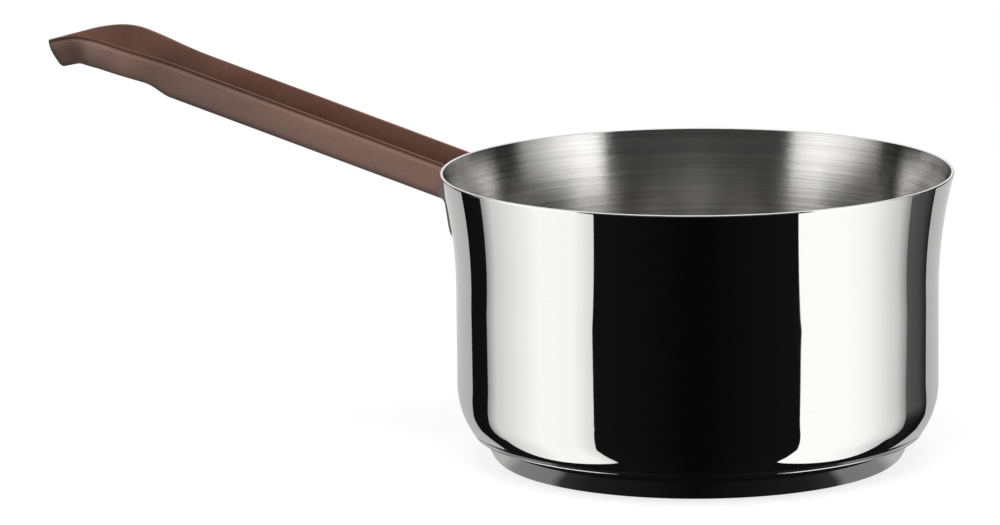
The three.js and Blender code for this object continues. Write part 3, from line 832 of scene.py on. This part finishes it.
def channel_floor():
    """The floor between the walls: it curves up to them and ends in a hollow."""
    inner = CHANNEL_HALF_WIDTH - SHEET
    half = inner + FLOOR_OVERLAP
    bend = inner - BEND_INSIDE
    across = [-half] + spread(-inner, -bend, CHANNEL_BEND_STEPS)[1:]
    across += spread(-bend, bend, CHANNEL_ACROSS_STEPS)[1:-1]
    across += spread(bend, inner, CHANNEL_BEND_STEPS)[:-1] + [half]
    rings = []
    for v in across:
        over = min(max(abs(v) - bend, 0), BEND_INSIDE)
        top = SHEET + BEND_INSIDE - math.sqrt(BEND_INSIDE ** 2 - over ** 2)
        end = FLOOR_END - FLOOR_NOTCH * (1 - (v / half) ** 2)
        ring = [(q, v, FLOOR_SEAM) for q in spread(FLOOR_START, end, CHANNEL_FLOOR_STEPS)]
        ring += [(q, v, top) for q in spread(end, FLOOR_START, CHANNEL_FLOOR_STEPS)]
        rings.append([tuple(FLOOR_FRAME @ Vector(p)) for p in ring])
    points, faces = loft(rings)
    size = len(rings[0])
    # The floor's top takes the painted shade of the channel's inside.
    tones = [SHADED_INSIDE_TONE if (f - 1) % size >= size // 2 else 0 for f in range(len(faces))]
    return make_object("channel_floor", points, faces, coats, tones)


def rivet_hole(place):
    radius = RIVET_RADIUS + RIVET_CLEARANCE
    reach = 2 * STACK_HEIGHT
    profile = [(0, -reach), (radius, -reach), (radius, reach), (0, reach)]
    points, faces, _ = revolve(profile, RIVET_STEPS)
    hole = make_object("rivet_hole", points, faces)
    hole.data.transform(FLOOR_FRAME @ Matrix.Translation((place, 0, 0)))
    return hole


def build_handle():
    handle = wall_band()
    combine(handle, channel_floor(), "UNION")
    for place in RIVET_PLACES:
        combine(handle, rivet_hole(place), "DIFFERENCE")
    dress(smooth(handle), "brown_coat", "handle_channel")


# Bracket and rivets

PLATE_TOP = FLOOR_START_POINT[1] + PLATE_RISE
PLATE_BOTTOM = PLATE_TOP - PLATE_HEIGHT
TONGUE_HALF = CHANNEL_HALF_WIDTH - SHEET - BEND_INSIDE - TONGUE_CLEARANCE


def plate_half_width(z):
    half = PLATE_WIDTH / 2
    below = max(PLATE_BOTTOM + PLATE_CORNER - z, 0)
    return half - PLATE_CORNER + math.sqrt(PLATE_CORNER ** 2 - below ** 2)


def eased(distance):
    """How far a rounded edge has dropped at a distance in from its outline."""
    inside = max(PLATE_EASE - distance, 0)
    return PLATE_EASE - math.sqrt(PLATE_EASE ** 2 - inside ** 2)


def weld_dent(v, z):
    dent = 0
    for place in WELD_SPOT_PLACES:
        distance = math.hypot(v - place, z - PLATE_BOTTOM - WELD_SPOT_RISE)
        flat = WELD_SPOT_FLAT * WELD_SPOT_RADIUS
        dent += WELD_SPOT_DEPTH * (1 - smoothstep(distance, flat, WELD_SPOT_RADIUS))
    return dent


def bracket_plate():
    """The plate that hugs the wall, with rounded lower corners and weld spots."""
    rings = []
    for rise in spread(PLATE_START, 1, PLATE_ROWS):
        z = PLATE_BOTTOM + rise * PLATE_HEIGHT
        half = plate_half_width(z)
        inner = wall_radius(z) + WELD_GAP
        shoulder_end = PLATE_TOP - PLATE_EASE
        shoulder = SHOULDER_OUT * smoothstep(z, PLATE_TOP - SHOULDER_DEPTH, shoulder_end)
        outside = []
        inside = []
        for v in spread(-half, half, PLATE_COLUMNS):
            drop = eased(min(half - abs(v), z - PLATE_BOTTOM, PLATE_TOP - z))
            outer = inner + BRACKET_SHEET - drop - weld_dent(v, z) + shoulder
            outside.append((-math.sqrt(outer ** 2 - v ** 2), v, z))
            inside.append((-math.sqrt(inner ** 2 - v ** 2), v, z))
        rings.append(outside + inside[::-1])
    return make_object("bracket_sheet", *loft(rings), (bare,))


def bracket_ear(side):
    """The plate's edge drawn up beside one wall of the channel, thinning to its tip, in dark steel
    that stands in for the shade by the channel's root.
    """
    near = CHANNEL_HALF_WIDTH + TONGUE_CLEARANCE
    far = PLATE_WIDTH / 2 - PLATE_EASE / 2
    places = sorted((side * near, side * far))
    rings = []
    for t in spread(0, 1, EAR_STEPS):
        z = lerp(FLOOR_START_POINT[1], PLATE_TOP + EAR_RISE, t)
        inner = wall_radius(z) + WELD_GAP
        outer = inner + lerp(EAR_FOOT, EAR_TIP, t ** EAR_CURVE)
        ring = [(-math.sqrt(outer ** 2 - v ** 2), v, z) for v in places]
        ring += [(-math.sqrt(inner ** 2 - v ** 2), v, z) for v in reversed(places)]
        rings.append(ring)
    return make_object("ear", *loft(rings))


def tongue_line():
    """Middle line of the neck and tongue in side view, as (out, up)."""
    middle = SHEET + TONGUE_CLEARANCE + BRACKET_SHEET / 2
    start = FLOOR_FRAME @ Vector((0, 0, middle))
    start = Vector((-start.x, start.z))
    along = Vector((math.cos(FLOOR_RISE), math.sin(FLOOR_RISE)))

    def neck_at(z):
        return Vector((wall_radius(z) + WELD_GAP + BRACKET_SHEET / 2, z))

    neck_low = neck_at(PLATE_TOP - PLATE_CORNER)
    neck_along = (neck_at(FLOOR_START_POINT[1] + STACK_HEIGHT) - neck_low).normalized()
    gap = start - neck_low
    reach = gap.x * neck_along.y - gap.y * neck_along.x
    reach /= along.x * neck_along.y - along.y * neck_along.x
    corner = start - along * reach
    bend_start = corner - neck_along * BEND_REACH
    bend_end = corner + along * BEND_REACH
    line = [neck_low.lerp(bend_start, t) for t in spread(0, 1, NECK_STEPS)]
    for t in spread(0, 1, TONGUE_BEND_STEPS)[1:]:
        line.append(bend_start.lerp(corner, t).lerp(corner.lerp(bend_end, t), t))
    flat_end = TONGUE_LENGTH - TONGUE_HALF
    line += [corner + along * s for s in spread(BEND_REACH, flat_end, TONGUE_STEPS)[1:]]
    for turn in spread(0, TONGUE_TURN, TONGUE_END_STEPS)[1:]:
        line.append(corner + along * (flat_end + TONGUE_HALF * math.sin(turn)))
    return line


def bracket_tongue():
    """The strip that bends from the plate into the channel, with a round end."""
    line = tongue_line()
    rings = []
    for i, point in enumerate(line):
        before = line[max(i - 1, 0)]
        after = line[min(i + 1, len(line) - 1)]
        along = (after - before).normalized()
        normal = Vector((-along.y, along.x))
        past = 0
        if i >= len(line) - TONGUE_END_STEPS:
            past = max(TONGUE_HALF - (line[-1] - point).length, 0)
        half = math.sqrt(TONGUE_HALF ** 2 - past ** 2)
        ring = []
        for side, lift in ((-1, -1), (1, -1), (1, 1), (-1, 1)):
            place = point + normal * (lift * BRACKET_SHEET / 2)
            ring.append((-place.x, side * half, place.y))
        rings.append(ring)
    return make_object("tongue", *loft(rings))


def build_bracket():
    bracket = bracket_plate()
    combine(bracket, bracket_tongue(), "UNION")
    for side in (-1, 1):
        combine(bracket, bracket_ear(side), "UNION")
    for place in RIVET_PLACES:
        combine(bracket, rivet_hole(place), "DIFFERENCE")
    dress(smooth(bracket), "bare_steel", "handle_bracket")


def build_rivet(name, node, place):
    """A low dome on the tongue, a shank through both sheets and a flat head underneath."""
    low = -TONGUE_CLEARANCE
    high = STACK_HEIGHT + TONGUE_CLEARANCE
    flat = RIVET_HEAD_HEIGHT / 2
    ease = flat / 3
    profile = [(0, low - flat), (RIVET_HEAD_RADIUS - ease, low - flat)]
    corner = (RIVET_HEAD_RADIUS - ease, low - flat + ease)
    dome = (RIVET_HEAD_RADIUS, RIVET_HEAD_HEIGHT)
    profile += circle_arc(corner, ease, -math.pi / 2, 0, RIVET_EDGE_STEPS)[1:]
    profile += [(RIVET_HEAD_RADIUS, low), (RIVET_RADIUS, low), (RIVET_RADIUS, high)]
    profile += arc((0, high), dome, 0, math.pi / 2, RIVET_DOME_STEPS)
    points, faces, _ = revolve(profile, RIVET_STEPS)
    rivet = make_object(name, points, faces, (bare,))
    rivet.data.transform(FLOOR_FRAME @ Matrix.Translation((place, 0, 0)))
    dress(smooth(rivet), "bare_steel", node)


# Stage: a white floor, soft lamps, and cards that only reflections show

SET_LAG = math.radians(2)  # the cards face a little to the left of the camera
SET_TURN = Matrix.Rotation(PHOTO_TURN - SET_LAG, 4, "Z")
FLOOR_DROP = 0.0003  # the floor lies just below the base
FLOOR_RADIUS = 3
FLOOR_FADE = (0.35, 0.8)  # the floor's own shading gives way to plain white between these
ROOM_RADIUS = 0.425
ROOM_HEIGHT = 0.4
TOP_REACH = ROOM_RADIUS + ROOM_HEIGHT  # out along the floor, then up the wall
WALL_GAIN = (1.6, 1.1)  # a card glows more on the wall than on the floor, less higher up
WALL_BLEND = (0, 0.08)  # the floor's levels give way to the wall's between these heights
PANEL_RADIUS = 0.36
PANEL_HEIGHT = 0.5
PANEL_LEVEL = 0.15
CEILING_LEVEL = 0.03
WORLD_LEVEL = 0.45
LAMPS = (  # name, place, size, watts
    ("lamp_key", (0.27, -0.75, 1.75), 1.6, 26),
    ("lamp_fill", (-1.2, -0.6, 1.2), 1.6, 2),
)
CARD_FOOT = 0.0742  # the cards start this far from the axis
TIP_LIFT = 0.005  # how much further out a white card's front corner starts
HEEL_LIFT = 0.0102  # and its rear corner
LIFT_POWER = 4  # how quickly both give way to the card's middle
BASE_SHADOW_FADE = (0.09, 0.135)  # painted shadow: a card's floor that is dim by the base brightens between these
RING_DROP = 0.0001  # the rings lie between the floor and the cards
FOOT_RINGS = (0.055, 0.0728, 0.092)  # the shaded floor round the base, in two rings
FLOOR_DIFFUSE = 0.3  # the floor's grey near the object, where it takes the shadow
FLOOR_LIFT = 0.78  # and the glow that lifts it to white
CARD_COLUMNS = 48
CARD_FLOOR_ROWS = 40
CARD_WALL_ROWS = 12
RING_STEPS = 144
CEILING_STEPS = 48
FLOOR_SIDES = 96
# A card's edge, as (reach, azimuth), where reach is the radius on the floor and then runs on
# up the room's wall
RIGHT_FRONT = (
    (0.078, 21.6), (0.0833, 26.7), (0.09, 30.4), (0.1, 32.5), (0.12, 35), (0.15, 37.4),
    (0.19, 39.7), (0.305, 43.9), (TOP_REACH, 50.5),
)
RIGHT_REAR = (
    (0.083, 65.6), (0.085, 70.3), (0.088, 74.6), (0.092, 78), (0.098, 81), (0.11, 85),
    (0.142, 91.2), (0.185, 97), (0.247, 103), (ROOM_RADIUS, 110.3), (TOP_REACH, 113),
)
RIGHT_GAP = (
    (0.0745, 66), (0.078, 76.8), (0.084, 89), (0.098, 101.5), (0.169, 115.5), (0.305, 127),
    (ROOM_RADIUS, 132), (TOP_REACH, 145),
)
LEFT_FRONT = (
    (0.078, -21.5), (0.0833, -27), (0.09, -31), (0.1, -32.8), (0.16, -38.5), (0.2, -40.9),
    (0.305, -44.5), (ROOM_RADIUS, -46.5), (TOP_REACH, -52),
)
LEFT_REAR = (
    (0.083, -68.5), (0.085, -72.4), (0.088, -76.3), (0.093, -79.9), (0.098, -82.5), (0.11, -86.3),
    (0.144, -93.2), (0.185, -98.5), (0.247, -104.2), (ROOM_RADIUS, -111.3), (TOP_REACH, -114),
)
LEFT_GAP = (
    (0.0745, -66), (0.079, -76.5), (0.084, -87), (0.09, -92.6), (0.098, -97.6), (0.1175, -103),
    (0.169, -112), (0.305, -124), (ROOM_RADIUS, -129), (TOP_REACH, -141),
)
RIGHT_BACK = ((TOP_REACH, 180),)
LEFT_BACK = ((TOP_REACH, -180),)


def white_floor():
    """White to the camera and to reflections, but with the object's soft shadow."""
    nodes = Nodes("stage_floor")
    x, y, _ = nodes.split()
    plain = nodes.ramp(nodes.radius(x, y), *FLOOR_FADE, 0, 1, "SMOOTHSTEP")
    seen = white_rays(nodes)
    grey = (FLOOR_DIFFUSE, FLOOR_DIFFUSE, FLOOR_DIFFUSE, 1)
    shaded = nodes.add("ShaderNodeBsdfDiffuse", grey).outputs[0]
    lift = nodes.glow(nodes.math("MULTIPLY", seen, FLOOR_LIFT))
    near = nodes.add("ShaderNodeAddShader", shaded, lift).outputs[0]
    return nodes.show(nodes.add("ShaderNodeMixShader", plain, near, nodes.glow(seen)).outputs[0])


def white_rays(nodes):
    """1 for the rays that should find a white background, and 0 for the rest."""
    path = nodes.add("ShaderNodeLightPath")
    camera, glossy, transmission = [
        path.outputs[f"Is {kind} Ray"] for kind in ("Camera", "Glossy", "Transmission")
    ]
    return nodes.math("MAXIMUM", nodes.math("MAXIMUM", camera, glossy), transmission)


def card_material(name, floor_stops, wall_stops, base_shadow_share=1):
    """A card's glow, by levels from its front edge to its rear edge, on the floor and the wall.
    By the base, the floor keeps only a share of its level, as a painted shadow of the pan."""
    nodes = Nodes(name)
    across = nodes.add("ShaderNodeAttribute", attribute_name="across").outputs["Fac"]
    x, y, height = nodes.split()
    share = nodes.ramp(nodes.radius(x, y), *BASE_SHADOW_FADE, base_shadow_share, 1, "SMOOTHSTEP")
    low = nodes.math("MULTIPLY", nodes.stops(across, floor_stops), share)
    gain = nodes.ramp(height, WALL_BLEND[1], ROOM_HEIGHT, *WALL_GAIN)
    high = nodes.math("MULTIPLY", nodes.stops(across, wall_stops), gain)
    return nodes.show(nodes.glow(nodes.ramp(height, *WALL_BLEND, low, high, "SMOOTHSTEP")))


def reflection_only(obj):
    obj.visible_camera = False
    obj.visible_diffuse = False
    obj.visible_transmission = False
    obj.visible_shadow = False


def finish_card(card, across):
    card.data.attributes.new("across", "FLOAT", "POINT").data.foreach_set("value", across)
    card.matrix_world = SET_TURN
    reflection_only(card)


def edge_turn(edge, reach):
    """Azimuth of a card's edge at a reach: nearly straight on the floor between its points."""
    for (near, turn), (far, next_turn) in zip(edge, edge[1:]):
        if reach <= far:
            share = (1 / near - 1 / max(reach, near)) / (1 / near - 1 / far)
            return math.radians(lerp(turn, next_turn, share))
    return math.radians(edge[-1][1])


def build_card(name, front_edge, rear_edge, floor_stops, wall_stops, lifts=(0, 0), base_shadow_share=1):
    """A card that lies on the floor between two edges and turns up into the room's wall."""
    points = []
    across = []
    columns = spread(0, 1, CARD_COLUMNS)
    for u in columns:
        foot = CARD_FOOT + lifts[0] * (1 - u) ** LIFT_POWER + lifts[1] * u ** LIFT_POWER
        reaches = [foot * (ROOM_RADIUS / foot) ** t for t in spread(0, 1, CARD_FLOOR_ROWS)]
        reaches += spread(ROOM_RADIUS, TOP_REACH, CARD_WALL_ROWS)[1:]
        for reach in reaches:
            radius = min(reach, ROOM_RADIUS)
            turn = lerp(edge_turn(front_edge, reach), edge_turn(rear_edge, reach), u)
            points.append((radius * math.sin(turn), -radius * math.cos(turn), reach - radius))
        across += [u] * (len(points) - len(across))
    rows = len(points) // len(columns)
    faces = [
        (c * rows + r, (c + 1) * rows + r, (c + 1) * rows + r + 1, c * rows + r + 1)
        for c in range(len(columns) - 1) for r in range(rows - 1)
    ]
    material = card_material(name, floor_stops, wall_stops, base_shadow_share)
    finish_card(make_object(name, points, faces, (material,)), across)


def build_foot_ring(name, inner, outer, stops):
    """A ring of shaded floor by the base, with levels by azimuth, from in front to behind."""
    points = []
    across = []
    columns = spread(-math.pi, math.pi, RING_STEPS)
    for turn in columns:
        for radius in (inner, outer):
            points.append((radius * math.sin(turn), -radius * math.cos(turn), -RING_DROP))
            across.append(abs(turn) / math.pi)
    faces = [(2 * c, 2 * c + 1, 2 * c + 3, 2 * c + 2) for c in range(len(columns) - 1)]
    finish_card(make_object(name, points, faces, (card_material(name, stops, stops),)), across)


def build_cards():
    black = ((0, 0.006), (0.5, 0.002), (1, 0.006))
    black_wall = ((0, 0.04), (1, 0.04))
    right = ((0, 1.05), (0.38, 1.04), (0.58, 0.95), (0.88, 0.6), (1, 0.25))
    right_wall = ((0, 1), (0.18, 1.08), (0.4, 0.85), (0.6, 0.5), (0.77, 0.26), (0.84, 0.02))
    left = ((0, 0.74), (0.15, 0.98), (0.42, 1.01), (0.88, 0.64), (1, 0.28))
    left_wall = ((0, 0.8), (0.25, 1), (0.5, 0.86), (0.73, 0.58), (0.81, 0.3), (0.87, 0.03))
    gap_wall = ((0, 0.01), (1, 0.01))
    gap_right = ((0, 0.09), (0.6, 0.06), (1, 0.012))
    gap_left = ((0, 0.006), (1, 0.005))
    back = ((0, 0.44), (0.35, 0.54), (0.7, 0.74), (1, 1))
    back_wall = ((0, 0.12), (0.3, 0.2), (1, 0.5))
    lifts = (TIP_LIFT, HEEL_LIFT)
    build_card("card_front", LEFT_FRONT, RIGHT_FRONT, black, black_wall)
    build_card("card_right", RIGHT_FRONT, RIGHT_REAR, right, right_wall, lifts)
    build_card("card_left", LEFT_FRONT, LEFT_REAR, left, left_wall, lifts)
    build_card("gap_right", RIGHT_REAR, RIGHT_GAP, gap_right, gap_wall, base_shadow_share=0.14)
    build_card("gap_left", LEFT_REAR, LEFT_GAP, gap_left, gap_wall)
    build_card("back_right", RIGHT_GAP, RIGHT_BACK, back, back_wall)
    build_card("back_left", LEFT_GAP, LEFT_BACK, back, back_wall)
    inner, middle, outer = FOOT_RINGS
    near = ((0, 0.003), (0.18, 0.012), (0.235, 0.03), (0.257, 0.18), (0.36, 0.22), (0.42, 0.45))
    far = ((0, 0.003), (0.39, 0.008), (0.47, 0.3))
    build_foot_ring("foot_inner", inner, middle, near)
    build_foot_ring("foot_outer", middle, outer, far)


def build_ceiling():
    """A dim ceiling over the cards, with one soft panel overhead."""
    rim = (PANEL_RADIUS, PANEL_HEIGHT)
    for name, profile, level in (
        ("card_ceiling", (rim, (ROOM_RADIUS, ROOM_HEIGHT)), CEILING_LEVEL),
        ("card_panel", ((0, PANEL_HEIGHT), rim), PANEL_LEVEL),
    ):
        points, faces, _ = revolve(profile, CEILING_STEPS)
        even = ((0, level), (1, level))
        reflection_only(make_object(name, points, faces, (card_material(name, even, even),)))


def add_lamp(name, place, size, watts):
    data = bpy.data.lights.new(name, "AREA")
    data.size = size
    data.energy = watts
    lamp = bpy.data.objects.new(name, data)
    bpy.context.scene.collection.objects.link(lamp)
    lamp.location = place
    lamp.rotation_euler = (-Vector(place)).to_track_quat("-Z", "Y").to_euler()
    lamp.visible_glossy = False
    lamp.visible_camera = False


def build_world():
    """White to the rays that find a background, and an even light to the rest."""
    nodes = Nodes("stage_world", "worlds")
    level = nodes.ramp(white_rays(nodes), 0, 1, WORLD_LEVEL, 1)
    nodes.set(nodes.own("Background"), Color=WHITE, Strength=level)
    bpy.context.scene.world = nodes.owner


def build_stage():
    points, faces, _ = revolve([(0, -FLOOR_DROP), (FLOOR_RADIUS, -FLOOR_DROP)], FLOOR_SIDES)
    make_object("stage_floor", points, faces, (white_floor(),))
    build_cards()
    build_ceiling()
    for lamp in LAMPS:
        add_lamp(*lamp)
    build_world()


def build_camera():
    data = bpy.data.cameras.new("camera")
    data.lens = CAMERA_LENS
    data.sensor_width = CAMERA_SENSOR
    camera = bpy.data.objects.new("camera", data)
    bpy.context.scene.collection.objects.link(camera)
    turn = Matrix.Rotation(PHOTO_TURN, 4, "Z")
    tilt = Matrix.Rotation(math.pi / 2 - CAMERA_ELEVATION, 4, "X")
    roll = Matrix.Rotation(CAMERA_ROLL, 4, "Z")
    back = Matrix.Translation((0, 0, CAMERA_DISTANCE))
    camera.matrix_world = turn @ Matrix.Translation(CAMERA_TARGET) @ tilt @ roll @ back
    bpy.context.scene.camera = camera


mirror = mirror_steel()
lip_metal = lip_steel()
satin = satin_steel()
coats = (
    brown_coat("brown_coat", BROWN, BROWN_SHADE, gloss=0.5),
    brown_coat("brown_edge_painted_shade", BROWN_PAINTED_EDGE_SHADE, BROWN_PAINTED_EDGE_SHADE_MOTTLE, gloss=0.1),
    brown_coat("brown_inside_painted_shade", BROWN_SHADED_INSIDE, BROWN_SHADED_INSIDE_MOTTLE, gloss=0.3, inside=True),
    brown_coat("brown_painted_highlight", BROWN_PAINTED_HIGHLIGHT, BROWN_PAINTED_HIGHLIGHT_MOTTLE, gloss=0.5),
)
bare = bare_steel()

build_vessel()
build_base_cap()
build_handle()
build_bracket()
build_rivet("rivet_inner_skin", "rivet_inner", RIVET_PLACES[0])
build_rivet("rivet_outer_skin", "rivet_outer", RIVET_PLACES[1])
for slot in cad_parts["heat_disc"].material_slots:
    slot.material = aluminium()

build_stage()
build_camera()
bpy.context.scene.view_settings.view_transform = "Standard"
